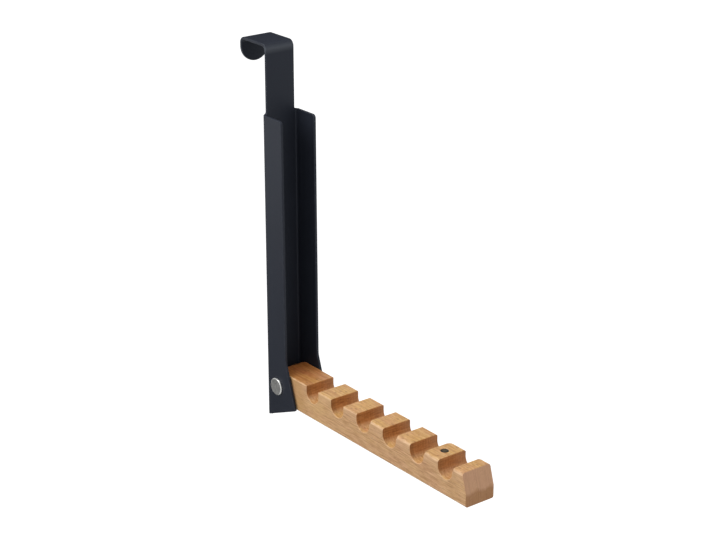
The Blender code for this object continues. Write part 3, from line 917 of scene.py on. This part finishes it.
def sleeve_mesh():
    top = PIVOT.x - SLEEVE_LOW.x
    end = PIVOT.x - SLEEVE_HIGH.x
    bore_end = PIVOT.x - SCREW_LOW.x + THREAD_RADIUS
    profile = head_profile((SLEEVE_HIGH.z - SLEEVE_LOW.z) / 2, top) + [
        (BARREL_RADIUS, top - HEAD_THICKNESS),
        (BARREL_RADIUS, end),
        (THREAD_RADIUS + THREAD_GAP, end),
        (THREAD_RADIUS + THREAD_GAP, bore_end),
        (0, bore_end),
    ]
    return turned(profile, AXIS_LEFT)


def screw_mesh():
    top = SCREW_HIGH.x - PIVOT.x
    end = SCREW_LOW.x - PIVOT.x
    profile = head_profile((SCREW_HIGH.z - SCREW_LOW.z) / 2, top) + [
        (THREAD_RADIUS, top - HEAD_THICKNESS),
        (THREAD_RADIUS, end + SCREW_CHAMFER),
        (THREAD_RADIUS - SCREW_CHAMFER, end),
        (0, end),
    ]
    corner_radius = SOCKET_WIDTH / math.sqrt(3)
    place = PIVOT + Vector((top, 0, 0))
    socket = prism(corner_radius, 2 * SOCKET_DEPTH, SOCKET_SIDES, place, AXIS_RIGHT)
    return cut(turned(profile, AXIS_RIGHT), socket)


def washer_mesh(node):
    low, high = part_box(node)
    loops = [circle((0, 0), (high.z - low.z) / 2), circle((0, 0), HOLE_RADIUS)]
    mesh = plate(loops, high.x - low.x, WASHER_EDGE, WASHER_RIM_STEPS)
    mesh.transform(Matrix.Translation((low + high) / 2) @ SIDE_VIEW.to_4x4())
    return mesh


def pad_mesh(node):
    """A die-cut foam pad: its rim rolls off softly and its face crowns a little."""
    low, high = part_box(node)
    half_width = (high.x - low.x) / 2
    half_height = (high.z - low.z) / 2
    thickness = high.y - low.y
    levels = [(0.0, 0.0), (0.0, thickness - PAD_EDGE - PAD_CROWN)]
    for i in range(1, PAD_RIM_STEPS + 1):
        turn = math.pi / 2 * i / PAD_RIM_STEPS
        levels.append((PAD_EDGE * (1 - math.cos(turn)),
                       thickness - PAD_CROWN - PAD_EDGE * (1 - math.sin(turn))))
    for i in range(1, PAD_FACE_STEPS + 1):
        share = i / PAD_FACE_STEPS
        levels.append((PAD_EDGE + share * (half_width - PAD_EDGE) * PAD_FACE_REACH,
                       thickness - PAD_CROWN * (1 - share) ** 2))
    body = bmesh.new()
    rings = []
    for inset, height in levels:
        across = half_width - inset
        up = half_height - inset
        radius = max(PAD_RADIUS - inset, PAD_LEAST_ROUND * across)
        loop = []
        for i, (side, end) in enumerate(((1, 1), (-1, 1), (-1, -1), (1, -1))):
            middle = (side * (across - radius), end * (up - radius))
            loop += arc(middle, radius, i * math.pi / 2, (i + 1) * math.pi / 2)
        rings.append([body.verts.new((p.x, p.y, height)) for p in loop])
    for lower, upper in zip(rings, rings[1:]):
        for i in range(len(lower)):
            body.faces.new((lower[i - 1], lower[i], upper[i], upper[i - 1]))
    body.faces.new(rings[-1])
    body.faces.new(reversed(rings[0]))
    bmesh.ops.recalc_face_normals(body, faces=body.faces)
    mesh = mesh_of(body, node)
    middle = (low + high) / 2
    mesh.transform(Matrix.Translation((middle.x, low.y, middle.z)) @ BACK_VIEW.to_4x4())
    return mesh


def build_pieces():
    coat = powder_coat()
    nickel = nickel_plate()
    washers = nylon()
    padding = foam()
    piece("bracket_steel", bracket_mesh(), coat, "bracket", "frame")
    piece("beech_arm", arm_mesh(), beech(), "hanger_arm", "arm")
    piece("holding_magnet", magnet_mesh(), magnet_face(), "arm_magnet", "arm")
    piece("sleeve_nut", sleeve_mesh(), nickel, "pivot_sleeve", "frame")
    piece("socket_screw", screw_mesh(), nickel, "pivot_screw", "frame")
    for side in ("left", "right"):
        node = "washer_" + side
        piece("nylon_washer_" + side, washer_mesh(node), washers, node, "frame")
    for level in ("upper", "lower"):
        node = "door_pad_" + level
        piece("foam_pad_" + level, pad_mesh(node), padding, node, "frame")


def seen_directly(tree):
    """1 for rays from the camera, from mirror-like surfaces and through glass, else 0."""
    path = tree.nodes.new("ShaderNodeLightPath")
    total = path.outputs["Is Camera Ray"]
    for name in ("Is Glossy Ray", "Is Transmission Ray"):
        larger = tree.nodes.new("ShaderNodeMath")
        larger.operation = "MAXIMUM"
        tree.links.new(total, larger.inputs[0])
        tree.links.new(path.outputs[name], larger.inputs[1])
        total = larger.outputs[0]
    return total


def make_world():
    world = bpy.data.worlds.new("studio")
    bpy.context.scene.world = world
    world.use_nodes = True
    tree = world.node_tree
    level = tree.nodes.new("ShaderNodeMapRange")
    tree.links.new(seen_directly(tree), level.inputs["Value"])
    level.inputs["To Min"].default_value = WORLD_LEVEL
    level.inputs["To Max"].default_value = 1.0
    background = tree.nodes["Background"]
    background.inputs["Color"].default_value = colour(1, 1, 1)
    tree.links.new(level.outputs["Result"], background.inputs["Strength"])


def sheet(name, width, height, finish):
    """A flat sheet that faces up, with one finish."""
    body = bmesh.new()
    bmesh.ops.create_grid(body, x_segments=1, y_segments=1, size=0.5)
    mesh = mesh_of(body, name)
    mesh.transform(Matrix.Diagonal((width, height, 1, 1)))
    mesh.materials.append(finish.material)
    return added(name, mesh)


def make_floor():
    pale = Finish("pale_floor")
    pale.set(
        Base_Color=colour(*even(FLOOR_GREY)),
        Roughness=MATTE_ROUGHNESS,
        Emission_Color=colour(1, 1, 1),
        Emission_Strength=pale.times(seen_directly(pale.tree), FLOOR_LIFT),
    )
    floor = sheet("floor", FLOOR_SIZE, FLOOR_SIZE, pale)
    floor.location = (0, 0, -FLOOR_DROP)


def aim(made, place, target, axis):
    """Stands an object at a place, with one of its axes towards a target."""
    made.location = place
    made.rotation_euler = (Vector(target) - Vector(place)).to_track_quat(axis, "Y").to_euler()


def softbox(name, place, target, size, power):
    light = bpy.data.lights.new(name, "AREA")
    light.shape = "SQUARE"
    light.size = size
    light.energy = power
    aim(added(name, light), place, target, "-Z")


def make_lights():
    softbox("key_softbox", place=(-1.2, 0.25, 0.55), target=(0, -0.08, -0.2), size=0.8, power=10.0)
    softbox("top_softbox", place=(-0.15, -0.05, 1.2), target=(0, -0.15, -0.3), size=0.6, power=8.5)


def card(name, place, target, width, height):
    """A dark card beside the picture: the steel facing it mirrors it in place of the white studio."""
    dark = Finish(name)
    dark.set(Base_Color=colour(*even(CARD_GREY)), Roughness=MATTE_ROUGHNESS)
    made = sheet(name, width, height, dark)
    aim(made, place, target, "Z")
    made.visible_camera = False


def make_cards():
    card("low_card", place=(-0.29, 0.36, -0.66), target=(0, 0, -0.35), width=0.42, height=0.62)
    card("high_card", place=(0.17, 0.25, 0.24), target=(0, 0, 0.24), width=0.8, height=0.52)


def make_camera():
    data = bpy.data.cameras.new("camera")
    data.sensor_width = SENSOR_WIDTH
    data.lens = FOCAL_PIXELS / IMAGE_WIDTH * SENSOR_WIDTH
    camera = added("camera", data)
    camera.location = CAMERA_PLACE
    camera.rotation_euler = (math.pi / 2 - CAMERA_PITCH, 0, -CAMERA_YAW)
    bpy.context.scene.camera = camera


build_pieces()
make_world()
make_floor()
make_lights()
make_cards()
make_camera()
bpy.context.scene.view_settings.view_transform = "Standard"
